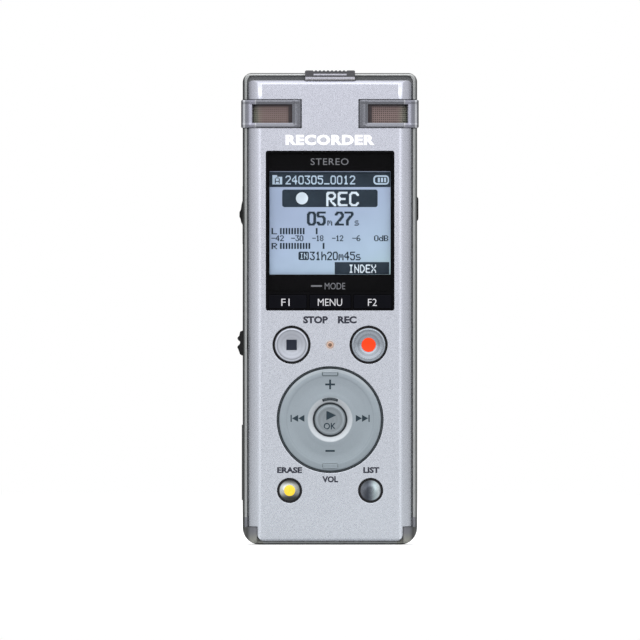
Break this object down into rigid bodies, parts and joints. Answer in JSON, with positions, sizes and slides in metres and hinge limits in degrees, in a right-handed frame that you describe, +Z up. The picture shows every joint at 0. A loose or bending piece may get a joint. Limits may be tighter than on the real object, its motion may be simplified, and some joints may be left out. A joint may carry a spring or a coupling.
{
  "type": "digital voice recorder",
  "caption": "Slim pocket dictation recorder with a display, press keys, a tilting ring key, a slide switch and hinged socket, card and battery doors.",
  "frame": {"origin": "centre of the bottom end face, with the recorder standing on that end", "axes": "+Z up along the long axis to the microphone end, the control face looks along -Y, +X to the right of someone facing it"},
  "size_m": [0.0409, 0.015, 0.1066],
  "materials": {
    "front_silver": "satin silver metallic paint, light orange peel",
    "band_grey": "satin warm grey metallic paint",
    "rear_grey": "satin dark grey metallic paint, fine texture",
    "guard_silver": "satin, bright bevels",
    "mesh_dark": "dark perforated steel",
    "gloss_black": "gloss",
    "matte_black": "fine moulded texture",
    "window_clear": "clear acrylic, gloss",
    "lcd_glass": "pale blue grey, satin polariser",
    "light_guide": "white",
    "key_silver": "spun satin metal",
    "ring_grey": "satin mid grey metallic paint",
    "lamp_amber": "smoked amber, gloss",
    "lamp_chip": "white package",
    "silicone_grey": "matt",
    "rubber_black": "matt",
    "board_green": "solder mask",
    "chip_black": "moulded epoxy",
    "tin_plate": "tin plated",
    "spring_steel": "nickel plated",
    "screw_black": "black zinc",
    "flex_amber": "polyimide film",
    "cell_jacket": "printed sleeve, plain",
    "tray_grey": "moulded",
    "cloth_black": "woven acoustic cloth",
    "cone_dark": "speaker",
    "wire_red": "insulation",
    "mic_metal": "electret capsule"
  },
  "bodies": {
    "root": {"backup_capacitor": "tin_plate", "battery_cell": "cell_jacket", "battery_insulator": "flex_amber", "battery_negative_spring": "spring_steel", "battery_positive_contact": "spring_steel", "battery_tray": "tray_grey", "board_link_flex": "flex_amber", "board_screws": "spring_steel", "card_socket": "tin_plate", "case_screws": "screw_black", "center_mic_cap": "guard_silver", "center_mic_trim": "front_silver", "chassis": "band_grey", "circuit_chips": "chip_black", "display_frame": "gloss_black", "display_window": "window_clear", "door_hinge_pin": "spring_steel", "ear_jack": "matte_black", "front_cover": "front_silver", "key_board": "board_green", "keypad_membrane": "silicone_grey", "lcd_backlight": "light_guide", "lcd_flex": "flex_amber", "lcd_glass": "lcd_glass", "led_chip": "lamp_chip", "led_lens": "lamp_amber", "main_board": "board_green", "mic_boots": "rubber_black", "mic_capsules": "mic_metal", "mic_guard_left": "guard_silver", "mic_guard_right": "guard_silver", "mic_jack": "matte_black", "mic_mesh_left": "mesh_dark", "mic_mesh_right": "mesh_dark", "rear_cover": "rear_grey", "shield_can": "tin_plate", "slide_switch_body": "tin_plate", "speaker": "cone_dark", "speaker_cloth": "cloth_black", "speaker_gasket": "rubber_black", "speaker_wires": "wire_red", "tact_domes": "spring_steel", "usb_socket": "tin_plate", "window_mask": "gloss_black"},
    "f1_key": {"f1_button": "gloss_black"},
    "menu_key": {"menu_button": "gloss_black"},
    "f2_key": {"f2_button": "gloss_black"},
    "stop_key": {"stop_button": "key_silver"},
    "rec_key": {"rec_button": "key_silver"},
    "erase_key": {"erase_button": "key_silver"},
    "list_key": {"list_button": "key_silver"},
    "ok_key": {"ok_button": "key_silver"},
    "ring_web": {"nav_web": "silicone_grey"},
    "ring_key": {"nav_ring": "ring_grey"},
    "power_slide": {"power_hold_knob": "matte_black", "slide_switch_lever": "matte_black"},
    "card_door": {"card_cover": "matte_black"},
    "usb_door": {"usb_cover": "matte_black"},
    "battery_lid": {"battery_door": "rear_grey"}
  },
  "joints": [
    {"name": "f1_press", "type": "slide", "parent": "root", "child": "f1_key", "axis": [0, 1, 0], "range_m": [0, 0.0002], "deforming": ["keypad_membrane"]},
    {"name": "menu_press", "type": "slide", "parent": "root", "child": "menu_key", "axis": [0, 1, 0], "range_m": [0, 0.0002], "deforming": ["keypad_membrane"]},
    {"name": "f2_press", "type": "slide", "parent": "root", "child": "f2_key", "axis": [0, 1, 0], "range_m": [0, 0.0002], "deforming": ["keypad_membrane"]},
    {"name": "stop_press", "type": "slide", "parent": "root", "child": "stop_key", "axis": [0, 1, 0], "range_m": [0, 0.0003], "deforming": ["keypad_membrane"]},
    {"name": "rec_press", "type": "slide", "parent": "root", "child": "rec_key", "axis": [0, 1, 0], "range_m": [0, 0.0003], "deforming": ["keypad_membrane"]},
    {"name": "erase_press", "type": "slide", "parent": "root", "child": "erase_key", "axis": [0, 1, 0], "range_m": [0, 0.00025], "deforming": ["keypad_membrane"]},
    {"name": "list_press", "type": "slide", "parent": "root", "child": "list_key", "axis": [0, 1, 0], "range_m": [0, 0.00025], "deforming": ["keypad_membrane"]},
    {"name": "ok_press", "type": "slide", "parent": "root", "child": "ok_key", "axis": [0, 1, 0], "range_m": [0, 0.00025], "deforming": ["keypad_membrane"]},
    {"name": "ring_tilt_updown", "type": "hinge", "parent": "root", "child": "ring_web", "pos_m": [0, -0.0055, 0.0281], "axis": [1, 0, 0], "range_deg": [-1.3, 1.3], "deforming": ["keypad_membrane"]},
    {"name": "ring_tilt_leftright", "type": "hinge", "parent": "ring_web", "child": "ring_key", "pos_m": [0, -0.0055, 0.0281], "axis": [0, 0, 1], "range_deg": [-1.3, 1.3], "deforming": ["keypad_membrane"]},
    {"name": "power_hold_slide", "type": "slide", "parent": "root", "child": "power_slide", "axis": [0, 0, 1], "range_m": [-0.0018, 0.0018]},
    {"name": "card_door_hinge", "type": "hinge", "parent": "root", "child": "card_door", "pos_m": [-0.0192, -0.002, 0.0676], "axis": [0, -1, 0], "range_deg": [0, 90]},
    {"name": "usb_door_hinge", "type": "hinge", "parent": "root", "child": "usb_door", "pos_m": [0.01915, 0.00045, 0.0699], "axis": [0, 1, 0], "range_deg": [0, 90]},
    {"name": "battery_lid_hinge", "type": "hinge", "parent": "root", "child": "battery_lid", "pos_m": [0, 0.0062, 0.004], "axis": [-1, 0, 0], "range_deg": [0, 90]}
  ]
}
